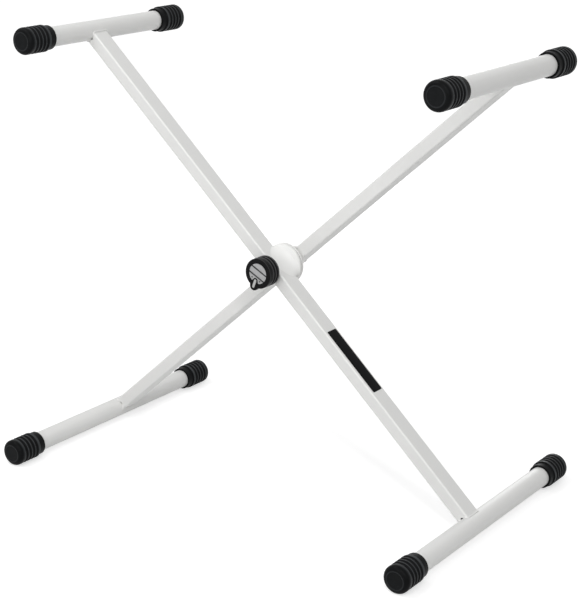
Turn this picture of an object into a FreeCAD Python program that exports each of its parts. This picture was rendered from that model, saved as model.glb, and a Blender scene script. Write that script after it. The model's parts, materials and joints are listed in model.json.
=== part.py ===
import FreeCAD, Part

import math
import os

from FreeCAD import Vector

# Folding cross-leg keyboard stand: two tube arms crossed on a clamp pivot, a round bar with rubber caps
# on each arm end. Millimetres. The origin is on the floor below the pivot, X runs across the cross,
# Y along the bars with the clamp knob on the -Y side, and Z is up.

# Stance
ARM_REACH = 500.0  # pivot axis to bar axis, along an arm
ARM_ANGLE = 42.1  # degrees each arm rises from the floor as stored
TOP_BAR_SPAN = 377.0  # over both caps
BOTTOM_BAR_SPAN = 499.0  # over both caps

# Arm tube
ARM_WIDTH = 21.5  # in the plane of the cross
ARM_DEPTH = 32.0  # along the pivot axis
ARM_WALL = 1.5
ARM_CORNER = 3.0
ARM_GAP = 18.0  # clear space between the two arms
COPE_CLEARANCE = 0.1  # weld root between arm end and bar
VENT_DIAMETER = 5.0

# Round bars
BAR_DIAMETER = 32.0
BAR_WALL = 1.5

# Rubber caps
CAP_DIAMETER = 43.0
CAP_LENGTH = 59.0
CAP_END_WALL = 4.5
CAP_EDGE_RADIUS = 7.0
CAP_COLLAR_DIAMETER = 39.0
CAP_COLLAR_LENGTH = 12.5
CAP_RIB_COUNT = 5
CAP_GROOVE_WIDTH = 5.4
CAP_GROOVE_DEPTH = 1.5
CAP_FIT = 0.05

# Clutch between the arms
CUP_DIAMETER = 66.0
CUP_RIM = 3.8  # straight rim of each cup
CUP_SEAT_DIAMETER = 26.0
CUP_SEAT_WALL = 3.0
CUP_LAND_WIDTH = 13.0  # flat ring that bears on the lining
CUP_DOME_RADIUS_SHARE = 0.66
CUP_DOME_RISE_SHARE = 0.55
LINING_THICKNESS = 0.8
LINING_INSET = 0.6  # lining edge inside the cup rims

# Pivot
BOLT_DIAMETER = 10.0
RUNNING_CLEARANCE = 0.05
SLEEVE_WALL = 3.0
SLEEVE_FIT = 0.05
WASHER_BORE_CLEARANCE = 0.25
BOLT_HEAD_FLATS = 16.0
BOLT_HEAD_HEIGHT = 6.4
BOLT_TIP = 2.0  # bolt end past the nut
BOLT_TIP_CHAMFER = 1.0
NUT_FLATS = 17.0
NUT_HEIGHT = 8.0
NUT_WASHER_DIAMETER = 21.0
NUT_WASHER_THICKNESS = 2.0

# Clamp knob
KNOB_DIAMETER = 48.0
KNOB_LENGTH = 26.0
KNOB_EDGE_RADIUS = 2.0
KNOB_BOSS_DIAMETER = 24.0
KNOB_BOSS_LENGTH = 3.0
THRUST_WASHER_DIAMETER = 26.0
THRUST_WASHER_THICKNESS = 2.0
HEAD_FIT = 0.1  # bolt head in its pocket, each side
GRIP_RING_COUNT = 2
GRIP_RING_WIDTH = 4.5
GRIP_RING_DEPTH = 1.4
LUG_REACH = 30.0  # knob axis to lug tip
LUG_WIDTH = 15.0
LUG_DEPTH = 6.5  # along the knob axis
POINTER_ANGLE = -110.5  # degrees from +X towards +Z, as stored
FACE_DIAMETER = 32.5
FACE_THICKNESS = 1.0
FACE_SET_BACK = 0.4  # plate below the knob rim
FACE_FIT = 0.1
FACE_LINE_OFFSET = 5.5  # each line from the knob axis
FACE_LINE_WIDTH = 2.2
FACE_LINE_DEPTH = 0.35
FACE_LINE_TURN = 6.5  # degrees the lines lean from square to the pointer
PAD_INNER_REACH = 8.3  # knob axis to the inner end of the pointer pad
PAD_WIDTH = 8.5
POINTER_INNER_REACH = 10.3
POINTER_OUTER_REACH = 25.5
POINTER_WIDTH = 4.0
POINTER_POCKET = 0.8
POINTER_PROUD = 0.3

# Arm label
LABEL_START = 135.0  # pivot axis to the label, down the front arm
LABEL_LENGTH = 118.0
LABEL_WIDTH = 22.8
LABEL_THICKNESS = 0.3
LABEL_CORNER = 2.0

# Cuts run this far past the faces they break
OVERRUN = 1.0

# Places that follow from the sizes above
ORIGIN = Vector(0, 0, 0)
Y_AXIS = Vector(0, 1, 0)
BAR_RADIUS = BAR_DIAMETER / 2
CAP_RADIUS = CAP_DIAMETER / 2
ARM_OFFSET = (ARM_GAP + ARM_DEPTH) / 2  # mid-plane to each arm's centre plane
ARM_OUTER_FACE = ARM_OFFSET + ARM_DEPTH / 2
PIVOT_HEIGHT = ARM_REACH * math.sin(math.radians(ARM_ANGLE)) + CAP_RADIUS
PIVOT = Vector(0, 0, PIVOT_HEIGHT)
FRONT_TOP_ANGLE = 180 - ARM_ANGLE
REAR_TOP_ANGLE = ARM_ANGLE
BOLT_BORE_RADIUS = BOLT_DIAMETER / 2 + RUNNING_CLEARANCE
SLEEVE_RADIUS = BOLT_BORE_RADIUS + SLEEVE_WALL
WASHER_BORE_RADIUS = BOLT_DIAMETER / 2 + WASHER_BORE_CLEARANCE
THRUST_WASHER_FACE = -ARM_OUTER_FACE - THRUST_WASHER_THICKNESS
KNOB_BACK = THRUST_WASHER_FACE - KNOB_BOSS_LENGTH
KNOB_FRONT = KNOB_BACK - KNOB_LENGTH
FACE_FLOOR = KNOB_FRONT + FACE_SET_BACK + FACE_THICKNESS
HEAD_FRONT = FACE_FLOOR + HEAD_FIT
HEAD_BACK = HEAD_FRONT + BOLT_HEAD_HEIGHT
NUT_FRONT = ARM_OUTER_FACE + NUT_WASHER_THICKNESS
NUT_BACK = NUT_FRONT + NUT_HEIGHT


def line(start, end):
    """Straight edge between two (radius, along) points of a lathe profile."""
    return Part.LineSegment(Vector(*start, 0), Vector(*end, 0)).toShape()


def arc(start, middle, end):
    """Round edge through three (radius, along) points of a lathe profile."""
    return Part.Arc(Vector(*start, 0), Vector(*middle, 0), Vector(*end, 0)).toShape()


def lathe(edges):
    """Solid of revolution about the Y axis from a closed chain of profile edges."""
    return Part.Face(Part.Wire(edges)).revolve(ORIGIN, Y_AXIS, 360)


def ring(outer_radius, inner_radius, low, high):
    """Round ring about the Y axis from low to high."""
    corners = [(inner_radius, low), (outer_radius, low), (outer_radius, high), (inner_radius, high)]
    return lathe([line(a, b) for a, b in zip(corners, corners[1:] + corners[:1])])


def rod(radius, low, high):
    """Round rod about the Y axis from low to high."""
    return Part.makeCylinder(radius, high - low, Vector(0, low, 0), Y_AXIS)


def hexagon(flats, low, high):
    """Hexagonal prism about the Y axis, with a flat towards the X axis."""
    reach = flats / 2 / math.cos(math.pi / 6)
    turns = [math.radians(60 * step + 30) for step in range(7)]
    corners = [Vector(reach * math.cos(turn), low, reach * math.sin(turn)) for turn in turns]
    return Part.Face(Part.makePolygon(corners)).extrude(Vector(0, high - low, 0))


def capsule(inner_reach, outer_reach, width, low, high):
    """Round-ended bar along +X from one reach to the other, and along Y from low to high."""
    radius = width / 2
    inner = inner_reach + radius
    outer = outer_reach - radius
    edges = [
        Part.LineSegment(Vector(inner, low, -radius), Vector(outer, low, -radius)).toShape(),
        Part.Arc(Vector(outer, low, -radius), Vector(outer_reach, low, 0), Vector(outer, low, radius)).toShape(),
        Part.LineSegment(Vector(outer, low, radius), Vector(inner, low, radius)).toShape(),
        Part.Arc(Vector(inner, low, radius), Vector(inner_reach, low, 0), Vector(inner, low, -radius)).toShape(),
    ]
    return Part.Face(Part.Wire(edges)).extrude(Vector(0, high - low, 0))


def rounded_bar(width, depth, corner, length):
    """Bar along X, centred on the origin, with its long edges rounded."""
    start = Vector(-length / 2, -depth / 2, -width / 2)
    block = Part.makeBox(length, depth, width, start)
    long_edges = [edge for edge in block.Edges if abs(edge.tangentAt(edge.FirstParameter).x) > math.cos(math.pi / 4)]
    return block.makeFillet(corner, long_edges)


def moved(shape, offset):
    """Copy of a shape at an offset."""
    copy = shape.copy()
    copy.translate(offset)
    return copy


def on_arm(shape, top_angle):
    """Turn a piece from arm coordinates, top end on +X, to its place on the stand."""
    placed = shape.copy()
    placed.rotate(ORIGIN, Y_AXIS, -top_angle)
    placed.translate(PIVOT)
    return placed


def on_knob(shape):
    """Turn a knob piece from pointer on +X to its place on the stand."""
    return on_arm(shape, POINTER_ANGLE)


def arm_tube(centre):
    """Rectangular tube with coped ends, a pivot hole and vent notches, centred on a Y plane."""
    outside = rounded_bar(ARM_WIDTH, ARM_DEPTH, ARM_CORNER, 2 * ARM_REACH)
    inside = rounded_bar(
        ARM_WIDTH - 2 * ARM_WALL, ARM_DEPTH - 2 * ARM_WALL, ARM_CORNER - ARM_WALL, 2 * (ARM_REACH + OVERRUN)
    )
    tube = moved(outside.cut(inside), Vector(0, centre, 0))
    low = centre - ARM_DEPTH / 2 - OVERRUN
    high = centre + ARM_DEPTH / 2 + OVERRUN
    cuts = [rod(SLEEVE_RADIUS + SLEEVE_FIT, low, high)]
    for end in (-1, 1):
        bar_place = Vector(end * ARM_REACH, 0, 0)
        cuts.append(moved(rod(BAR_RADIUS + COPE_CLEARANCE, low, high), bar_place))
        vent = rod(VENT_DIAMETER / 2, low, low + ARM_WALL + 2 * OVERRUN)
        cuts.append(moved(vent, Vector(end * (ARM_REACH - BAR_RADIUS), 0, 0)))
    return tube.cut(cuts)


def bar_tube(span):
    """Round tube along Y that stops inside the caps at both ends."""
    half = span / 2 - CAP_END_WALL
    return ring(BAR_RADIUS, BAR_RADIUS - BAR_WALL, -half, half)


def rubber_cap():
    """Ribbed cap with its closed end at Y zero and its mouth towards +Y."""
    bore = BAR_RADIUS + CAP_FIT
    collar = CAP_COLLAR_DIAMETER / 2
    collar_start = CAP_LENGTH - CAP_COLLAR_LENGTH
    edge_middle = CAP_EDGE_RADIUS * (1 - math.sin(math.pi / 4))
    pitch = (collar_start - CAP_EDGE_RADIUS) / CAP_RIB_COUNT
    end_flat = (CAP_RADIUS - CAP_EDGE_RADIUS, 0)
    here = (CAP_RADIUS, CAP_EDGE_RADIUS)
    edges = [line((0, 0), end_flat), arc(end_flat, (CAP_RADIUS - edge_middle, edge_middle), here)]
    for groove in range(1, CAP_RIB_COUNT):
        middle = CAP_EDGE_RADIUS + groove * pitch
        start = (CAP_RADIUS, middle - CAP_GROOVE_WIDTH / 2)
        end = (CAP_RADIUS, middle + CAP_GROOVE_WIDTH / 2)
        edges.append(line(here, start))
        edges.append(arc(start, (CAP_RADIUS - CAP_GROOVE_DEPTH, middle), end))
        here = end
    rest = [
        here,
        (CAP_RADIUS, collar_start),
        (collar, collar_start),
        (collar, CAP_LENGTH),
        (bore, CAP_LENGTH),
        (bore, CAP_END_WALL),
        (0, CAP_END_WALL),
        (0, 0),
    ]
    edges += [line(a, b) for a, b in zip(rest, rest[1:])]
    return lathe(edges)


def clutch_cup():
    """Domed cup from the front arm's back face (-Y) to the lining, with a land that bears on the lining."""
    seat_plane = -ARM_GAP / 2
    rim_end = -LINING_THICKNESS / 2
    rim_start = rim_end - CUP_RIM
    rim = CUP_DIAMETER / 2
    seat = CUP_SEAT_DIAMETER / 2
    land = rim - CUP_LAND_WIDTH
    pocket_floor = seat_plane + CUP_SEAT_WALL
    dome_middle = (
        seat + (rim - seat) * CUP_DOME_RADIUS_SHARE,
        rim_start + (seat_plane - rim_start) * CUP_DOME_RISE_SHARE,
    )
    straight = [
        (rim, rim_start),
        (rim, rim_end),
        (land, rim_end),
        (land, pocket_floor),
        (WASHER_BORE_RADIUS, pocket_floor),
        (WASHER_BORE_RADIUS, seat_plane),
        (seat, seat_plane),
    ]
    edges = [line(a, b) for a, b in zip(straight, straight[1:])]
    edges.append(arc((seat, seat_plane), dome_middle, (rim, rim_start)))
    return lathe(edges)


def friction_lining():
    """Ring clamped between the lands of the two clutch cups."""
    outer = CUP_DIAMETER / 2 - LINING_INSET
    inner = CUP_DIAMETER / 2 - CUP_LAND_WIDTH
    return ring(outer, inner, -LINING_THICKNESS / 2, LINING_THICKNESS / 2)


def pivot_sleeve(centre):
    """Sleeve through an arm, as long as the tube is deep."""
    return ring(SLEEVE_RADIUS, BOLT_BORE_RADIUS, centre - ARM_DEPTH / 2, centre + ARM_DEPTH / 2)


def arm_label():
    """Thin label on the upper face of the front arm's lower half."""
    blank = Part.makeBox(
        LABEL_LENGTH,
        LABEL_WIDTH,
        LABEL_THICKNESS,
        Vector(-LABEL_START - LABEL_LENGTH, -ARM_OFFSET - LABEL_WIDTH / 2, -ARM_WIDTH / 2 - LABEL_THICKNESS),
    )
    upright = [edge for edge in blank.Edges if abs(edge.tangentAt(edge.FirstParameter).z) > math.cos(math.pi / 4)]
    return blank.makeFillet(LABEL_CORNER, upright)


def clamp_bolt():
    """Hexagon bolt from its pocket in the knob to just past the nut."""
    head = hexagon(BOLT_HEAD_FLATS, HEAD_FRONT, HEAD_BACK)
    end = NUT_BACK + BOLT_TIP
    radius = BOLT_DIAMETER / 2
    shank = [
        (0, HEAD_BACK),
        (radius, HEAD_BACK),
        (radius, end - BOLT_TIP_CHAMFER),
        (radius - BOLT_TIP_CHAMFER, end),
        (0, end),
    ]
    return head.fuse(lathe([line(a, b) for a, b in zip(shank, shank[1:] + shank[:1])])).removeSplitter()


def clamp_nut():
    """Hexagon nut behind the rear arm's washer."""
    bore = rod(BOLT_BORE_RADIUS, NUT_FRONT - OVERRUN, NUT_BACK + OVERRUN)
    return hexagon(NUT_FLATS, NUT_FRONT, NUT_BACK).cut(bore)


def knob_drum():
    """Round knob body with a boss at its back, rounded rims and grip rings."""
    radius = KNOB_DIAMETER / 2
    boss = KNOB_BOSS_DIAMETER / 2
    rim_middle = KNOB_EDGE_RADIUS * (1 - math.sin(math.pi / 4))
    front_flat = (radius - KNOB_EDGE_RADIUS, KNOB_FRONT)
    here = (radius, KNOB_FRONT + KNOB_EDGE_RADIUS)
    edges = [line((0, KNOB_FRONT), front_flat)]
    edges.append(arc(front_flat, (radius - rim_middle, KNOB_FRONT + rim_middle), here))
    pitch = (KNOB_LENGTH - LUG_DEPTH) / (GRIP_RING_COUNT + 1)
    for step in range(1, GRIP_RING_COUNT + 1):
        middle = KNOB_FRONT + LUG_DEPTH + step * pitch
        start = (radius, middle - GRIP_RING_WIDTH / 2)
        end = (radius, middle + GRIP_RING_WIDTH / 2)
        edges.append(line(here, start))
        edges.append(arc(start, (radius - GRIP_RING_DEPTH, middle), end))
        here = end
    back_edge = (radius, KNOB_BACK - KNOB_EDGE_RADIUS)
    back_flat = (radius - KNOB_EDGE_RADIUS, KNOB_BACK)
    edges.append(line(here, back_edge))
    edges.append(arc(back_edge, (radius - rim_middle, KNOB_BACK - rim_middle), back_flat))
    rest = [back_flat, (boss, KNOB_BACK), (boss, THRUST_WASHER_FACE), (0, THRUST_WASHER_FACE), (0, KNOB_FRONT)]
    edges += [line(a, b) for a, b in zip(rest, rest[1:])]
    return lathe(edges)


def face_recess(radius, pad_width, pad_reach, low, high):
    """Disc about the knob axis less the pointer pad, along Y from low to high."""
    pad = capsule(pad_reach, LUG_REACH, pad_width, low - OVERRUN, high + OVERRUN)
    return rod(radius, low, high).cut(pad)


def knob_shell():
    """Knob body with its lug, the recess for the face plate, the bolt pocket and the pointer pocket."""
    lug = capsule(0, LUG_REACH, LUG_WIDTH, KNOB_FRONT, KNOB_FRONT + LUG_DEPTH)
    cuts = [
        face_recess(FACE_DIAMETER / 2, PAD_WIDTH, PAD_INNER_REACH, KNOB_FRONT - OVERRUN, FACE_FLOOR),
        hexagon(BOLT_HEAD_FLATS + 2 * HEAD_FIT, FACE_FLOOR - OVERRUN, HEAD_BACK),
        rod(BOLT_BORE_RADIUS, HEAD_FRONT, THRUST_WASHER_FACE + OVERRUN),
        capsule(
            POINTER_INNER_REACH - FACE_FIT,
            POINTER_OUTER_REACH + FACE_FIT,
            POINTER_WIDTH + 2 * FACE_FIT,
            KNOB_FRONT - OVERRUN,
            KNOB_FRONT + POINTER_POCKET,
        ),
    ]
    return knob_drum().fuse(lug).cut(cuts)


def knob_face_plate():
    """Disc in the knob's face, with a gap for the pointer pad and two engraved lines across it."""
    front = FACE_FLOOR - FACE_THICKNESS
    plate = face_recess(
        FACE_DIAMETER / 2 - FACE_FIT, PAD_WIDTH + 2 * FACE_FIT, PAD_INNER_REACH - FACE_FIT, front, FACE_FLOOR
    )
    lines = []
    for side in (-1, 1):
        corner = Vector(
            side * FACE_LINE_OFFSET - FACE_LINE_WIDTH / 2, front - OVERRUN, -FACE_DIAMETER / 2 - OVERRUN
        )
        groove = Part.makeBox(FACE_LINE_WIDTH, FACE_LINE_DEPTH + OVERRUN, FACE_DIAMETER + 2 * OVERRUN, corner)
        groove.rotate(ORIGIN, Y_AXIS, FACE_LINE_TURN)
        lines.append(groove)
    return plate.cut(lines)


def knob_pointer():
    """Pointer bar set into the pad on the lug."""
    low = KNOB_FRONT - POINTER_PROUD
    return capsule(POINTER_INNER_REACH, POINTER_OUTER_REACH, POINTER_WIDTH, low, KNOB_FRONT + POINTER_POCKET)


def arm_pieces(name, centre, top_angle):
    """The arm, bars, caps and sleeve of one frame, by node name."""
    pieces = {
        name + "_arm": arm_tube(centre),
        name + "_pivot_sleeve": pivot_sleeve(centre),
    }
    cap = rubber_cap()
    for level, end, span in (("top", 1, TOP_BAR_SPAN), ("bottom", -1, BOTTOM_BAR_SPAN)):
        place = Vector(end * ARM_REACH, 0, 0)
        near_cap = moved(cap, Vector(0, -span / 2, 0))
        far_cap = near_cap.copy()
        far_cap.rotate(ORIGIN, Vector(1, 0, 0), 180)
        pieces[name + "_" + level + "_bar"] = moved(bar_tube(span), place)
        pieces[name + "_" + level + "_near_cap"] = moved(near_cap, place)
        pieces[name + "_" + level + "_far_cap"] = moved(far_cap, place)
    return {node: on_arm(shape, top_angle) for node, shape in pieces.items()}


def clutch_pieces():
    """The two cups and the lining between them, by node name."""
    front_cup = clutch_cup()
    rear_cup = front_cup.copy()
    rear_cup.rotate(ORIGIN, Vector(0, 0, 1), 180)
    return {
        "front_clutch_cup": on_arm(front_cup, FRONT_TOP_ANGLE),
        "rear_clutch_cup": on_arm(rear_cup, REAR_TOP_ANGLE),
        "friction_lining": on_arm(friction_lining(), REAR_TOP_ANGLE),
    }


def clamp_pieces():
    """The knob, its bolt, the nut and the washers, by node name."""
    thrust_washer = ring(
        THRUST_WASHER_DIAMETER / 2, WASHER_BORE_RADIUS, THRUST_WASHER_FACE, -ARM_OUTER_FACE
    )
    nut_washer = ring(NUT_WASHER_DIAMETER / 2, WASHER_BORE_RADIUS, ARM_OUTER_FACE, NUT_FRONT)
    return {
        "thrust_washer": on_knob(thrust_washer),
        "knob_shell": on_knob(knob_shell()),
        "knob_face_plate": on_knob(knob_face_plate()),
        "knob_pointer": on_knob(knob_pointer()),
        "clamp_bolt": on_knob(clamp_bolt()),
        "nut_washer": on_arm(nut_washer, REAR_TOP_ANGLE),
        "clamp_nut": on_arm(clamp_nut(), REAR_TOP_ANGLE),
    }


def stand():
    """Every piece of the stand, by node name."""
    pieces = arm_pieces("front", -ARM_OFFSET, FRONT_TOP_ANGLE)
    pieces.update(arm_pieces("rear", ARM_OFFSET, REAR_TOP_ANGLE))
    pieces["arm_label"] = on_arm(arm_label(), FRONT_TOP_ANGLE)
    pieces.update(clutch_pieces())
    pieces.update(clamp_pieces())
    return pieces


os.makedirs("parts", exist_ok=True)
for node, shape in stand().items():
    shape.exportStep("parts/" + node + ".step")
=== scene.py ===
import json
import math

import bmesh
import bpy
from bpy.props import FloatProperty, FloatVectorProperty, IntProperty, PointerProperty
from bpy.types import NodeSocket, Operator, Panel, PropertyGroup
from mathutils import Matrix, Vector
from mathutils.geometry import interpolate_bezier


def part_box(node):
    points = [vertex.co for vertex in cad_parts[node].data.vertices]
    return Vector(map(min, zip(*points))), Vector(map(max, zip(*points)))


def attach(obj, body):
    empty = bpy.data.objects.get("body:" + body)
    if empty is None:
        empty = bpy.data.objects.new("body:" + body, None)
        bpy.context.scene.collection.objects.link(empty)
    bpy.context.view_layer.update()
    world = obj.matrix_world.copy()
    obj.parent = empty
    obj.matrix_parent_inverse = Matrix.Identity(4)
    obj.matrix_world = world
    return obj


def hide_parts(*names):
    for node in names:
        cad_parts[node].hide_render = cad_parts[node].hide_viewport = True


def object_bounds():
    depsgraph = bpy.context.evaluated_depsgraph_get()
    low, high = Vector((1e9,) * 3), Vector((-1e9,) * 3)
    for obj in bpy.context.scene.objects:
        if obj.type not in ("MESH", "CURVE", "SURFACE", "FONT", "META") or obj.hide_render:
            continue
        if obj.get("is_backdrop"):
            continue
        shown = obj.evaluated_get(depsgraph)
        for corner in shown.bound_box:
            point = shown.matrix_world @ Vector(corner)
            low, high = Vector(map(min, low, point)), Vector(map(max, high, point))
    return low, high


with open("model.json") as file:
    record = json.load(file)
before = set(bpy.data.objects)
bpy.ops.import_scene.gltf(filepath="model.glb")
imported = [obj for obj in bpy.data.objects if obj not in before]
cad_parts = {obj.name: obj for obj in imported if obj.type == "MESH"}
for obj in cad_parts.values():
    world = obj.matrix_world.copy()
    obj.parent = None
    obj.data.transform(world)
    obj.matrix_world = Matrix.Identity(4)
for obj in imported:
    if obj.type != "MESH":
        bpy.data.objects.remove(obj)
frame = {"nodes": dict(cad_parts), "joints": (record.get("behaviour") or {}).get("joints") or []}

bl_info = {
    "name": "Cross-leg keyboard stand",
    "version": (1, 0, 0),
    "blender": (4, 5, 0),
    "location": "View3D > Sidebar > Stand",
    "description": "Dresses the folding keyboard stand and sets up its studio",
    "category": "Object",
}

CAD_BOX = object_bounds()

# Directions, places and names in the packed frame
SIDE = Vector((0, 1, 0))
ACROSS = Vector((1, 0, 0))
JOINTS = {joint["name"]: joint for joint in frame["joints"]}
PIVOT = Vector(JOINTS["arm_fold"]["pos_m"])
ARMS = ("front", "rear")
BARS = [(arm, level) for arm in ARMS for level in ("top", "bottom")]
CAP_ENDS = {"near": -1, "far": 1}

# Mesh fineness
ROUND_SEGMENTS = 96
KNOB_SEGMENTS = 360
DOT_SEGMENTS = 32
BEAD_SEGMENTS = 14
BEAD_STEP = 0.0006  # metres from ring to ring of a weld bead
FILLET_STEPS = 6
FILLET_ROOM = 0.48  # most of a profile run that one fillet may take
CAP_EDGE_STEPS = 12
DOME_STEPS = 20
SEAM_STEPS = 48
SEAM_SIDES = 16
GRIP_STEPS = 8
POINTER_END_STEPS = 16
LABEL_CORNER_STEPS = 8
SHARP_ANGLE = math.radians(38)

# Mesh attribute for the painted highlight, a paler colour that stands in for gloss on crests and rims:
# how much of it a surface takes, and the least and most of it in a patch
HIGHLIGHT = "rub"
HIGHLIGHT_PATCHES = (0.7, 1.2)

# Noise levels at which a mottled colour is darkest and palest, and the noise's detail
MOTTLE_EDGES = (0.32, 0.68)
MOTTLE_DETAIL = 4.0

# Studio floor, and the camera's sensor in millimetres and far clip in metres
FLOOR_ROUGHNESS = 0.9
FLOOR_SPECULAR = 0.1
SENSOR_WIDTH = 36.0
FAR_CLIP = 100.0


def centre_of(node):
    """Middle of a packed node's box."""
    low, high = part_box(node)
    return (low + high) / 2


def size_of(node):
    """Extents of a packed node's box."""
    low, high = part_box(node)
    return high - low


def arm_run(arm, level):
    """Direction of an arm from the pivot to one of its bars, in the plane of the cross."""
    run = centre_of(f"{arm}_{level}_bar") - PIVOT
    run.y = 0
    return run.normalized()


def arm_section(arm):
    """Width in the plane of the cross and depth along Y of an arm's tube."""
    node = f"{arm}_arm"
    run = centre_of(f"{arm}_top_bar") - centre_of(f"{arm}_bottom_bar")
    across = run.normalized().cross(SIDE)
    reaches = [abs((vertex.co - PIVOT).dot(across)) for vertex in frame["nodes"][node].data.vertices]
    return 2 * max(reaches), size_of(node).y


# Settings


def metres(name, description, default, low=0):
    """Setting for a size."""
    return FloatProperty(name=name, description=description, default=default, min=low, unit="LENGTH")


def fraction(name, description, default, low=0, high=1):
    """Setting for a share."""
    return FloatProperty(
        name=name, description=description, default=default, min=low, max=high, subtype="FACTOR")


def degrees(name, description, default):
    """Setting for an angle, its default in degrees."""
    return FloatProperty(
        name=name, description=description, default=math.radians(default), subtype="ANGLE", unit="ROTATION")


def watts(name, description, default):
    """Setting for a lamp's power."""
    return FloatProperty(name=name, description=description, default=default, min=0, unit="POWER")


def number(name, description, default, low):
    """Setting for a count."""
    return IntProperty(name=name, description=description, default=default, min=low)


def colour(name, description, default):
    """Setting for a colour."""
    return FloatVectorProperty(
        name=name, description=description, default=default, size=3, min=0, max=1, subtype="COLOR")


def location(name, description, default):
    """Setting for a place."""
    return FloatVectorProperty(
        name=name, description=description, default=default, size=3, subtype="TRANSLATION", unit="LENGTH")


class FinishSettings(PropertyGroup):
    """Colours and gloss of each finish."""

    paint: colour("Frame paint", "White powder coat on arms and bars", (0.785, 0.785, 0.772))
    paint_roughness: fraction("Paint roughness", "Satin of the powder coat", 0.42)
    # The clutch coat is paler than the frame paint; the extra brightness is painted light, standing in for
    # the light the domes catch
    clutch: colour("Clutch coat", "White satin coat on the clutch cups", (0.85, 0.85, 0.835))
    clutch_roughness: fraction("Clutch roughness", "Satin of the clutch cups", 0.42)
    rubber: colour("Cap rubber", "Black moulded rubber of the bar caps", (0.0036, 0.0040, 0.0045))
    # Painted highlight: the paler rubber that stands in for gloss on the rib crests, the end's lip and its
    # flat
    rubbed_rubber: colour("Rubbed rubber", "Greyer rubber where the caps are rubbed", (0.050, 0.054, 0.057))
    rubber_roughness: fraction("Rubber roughness", "Satin of the caps", 0.40)
    knob: colour("Knob plastic", "Black moulded plastic of the clamp knob", (0.0044, 0.0044, 0.0050))
    # Painted highlight: the paler plastic that stands in for gloss on the knob's front rim and grip ridges
    rubbed_knob: colour("Rubbed plastic", "Greyer plastic where fingers rub the knob", (0.068, 0.068, 0.070))
    knob_roughness: fraction("Knob roughness", "Satin of the knob", 0.34)
    face: colour("Knob face", "Grey plate in the knob's face", (0.40, 0.40, 0.405))
    face_roughness: fraction("Face roughness", "Satin of the face plate", 0.45)
    pointer: colour("Pointer", "Pale pointer bar on the knob's lug", (0.47, 0.47, 0.465))
    pointer_roughness: fraction("Pointer roughness", "Satin of the pointer bar", 0.35)
    ink: colour("Ink", "Black fill of the lines and dots on the knob's face", (0.018, 0.018, 0.019))
    ink_roughness: fraction("Ink roughness", "Satin of the fill", 0.5)
    label: colour("Arm label", "Plain black film on the front arm", (0.0055, 0.0055, 0.0062))
    label_roughness: fraction("Label roughness", "Satin of the film", 0.34)
    zinc: colour("Zinc plating", "Bright zinc on bolt, sleeves and washer", (0.58, 0.60, 0.62))
    zinc_roughness: fraction("Zinc roughness", "Satin of the plating", 0.32)
    lining: colour("Clutch lining", "Friction fibre between the clutch cups", (0.075, 0.060, 0.048))
    lining_roughness: fraction("Lining roughness", "Matt of the fibre", 0.82)


class WeldSettings(PropertyGroup):
    """Weld beads at the arm ends and smooth seams at the clutch."""

    bead: metres("Bead radius", "Half the width of a weld bead", 0.0015, low=0.0005)
    stand_off: metres("Bead stand-off", "Bead centre off the arm and bar faces", 0.0002)
    ripple: fraction("Ripple share", "How much the bead swells at each ripple", 0.07, high=0.5)
    pitch: metres("Ripple pitch", "Distance from ripple to ripple", 0.0034, low=0.0005)
    vent_gap: metres("Vent gap", "Half the break in the bead at the vent notch", 0.0036)
    tube_corner: metres("Tube corner", "Rounding of the arm tube's long edges", 0.0030, low=0.0001)
    seam: metres("Seam width", "Smooth seam from an arm out over its clutch cup", 0.0190)
    seam_rise: metres("Seam rise", "Height of the seam up the side of the arm", 0.0240)
    seam_reach: metres("Seam reach", "Pivot axis to each end of a seam, along the arm", 0.0310, low=0.001)
    seam_pull: fraction("Seam pull", "How far the seam keeps to the arm and the cup", 0.45)


class CapSettings(PropertyGroup):
    """Shape of the ribbed rubber caps."""

    ribs: number("Ribs", "Raised bands round each cap", 5, low=1)
    groove_depth: metres("Groove depth", "Depth of the grooves between ribs", 0.0015)
    groove_width: metres("Groove width", "Width of the grooves at the surface", 0.0054)
    groove_floor_share: fraction("Groove floor share", "Flat floor as a share of a groove's width", 0.52)
    rib_radius: metres("Rib radius", "Rounding of the ribs' shoulders", 0.0024)
    edge_radius: metres("Edge radius", "Round edge of the closed end", 0.0070)
    soft_radius: metres("Soft radius", "Small rounding of grooves, lip and collar", 0.0006)
    collar_length: metres("Collar length", "Smaller band at the mouth", 0.0125)
    collar_inset: metres("Collar inset", "Collar below the ribs", 0.0020)
    end_wall: metres("End wall", "Rubber between the closed end and the bar", 0.0045)
    bore_gap: metres("Bore gap", "Cap bore clear of the bar", 0.00005)
    lip_height: metres("End lip height", "Raised lip round the flat of the closed end", 0.0005)
    lip_width: metres("End lip width", "Width of the raised lip", 0.0010)
    # Where and how strongly the caps take the painted highlight
    rub_depth: metres("Rub depth", "How far below a rib's crest the rubbing reaches", 0.0002, low=0.00005)
    flat_highlight: fraction("End rub", "Rubbing of the flat closed end", 0.08)
    lip_highlight: fraction("Lip rub", "Rubbing of the lip round the closed end", 0.40)


class ClutchSettings(PropertyGroup):
    """Shape of the domed clutch cups."""

    rim_share: fraction("Rim share", "Straight rim as a share of a cup's height", 0.442, 0.05, 0.9)
    seat_share: fraction("Seat share", "Flat seat on the arm as a share of the radius", 0.394, 0.1, 0.9)
    land_share: fraction("Land share", "Inside of the lining land as a share of the radius", 0.606, 0.2, 0.9)
    seat_wall_share: fraction("Seat wall", "Metal behind the seat as a share of height", 0.349, 0.05, 0.9)
    dome_power: FloatProperty(
        name="Dome power", description="Fullness of the dome, from 1, a cone, to 2, an ellipse",
        default=1.6, min=1, max=3)
    edge_radius: metres("Edge radius", "Rounding of the rim", 0.0007)
    bore: metres("Bore radius", "Hole for the clamp bolt", 0.00525)


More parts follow.
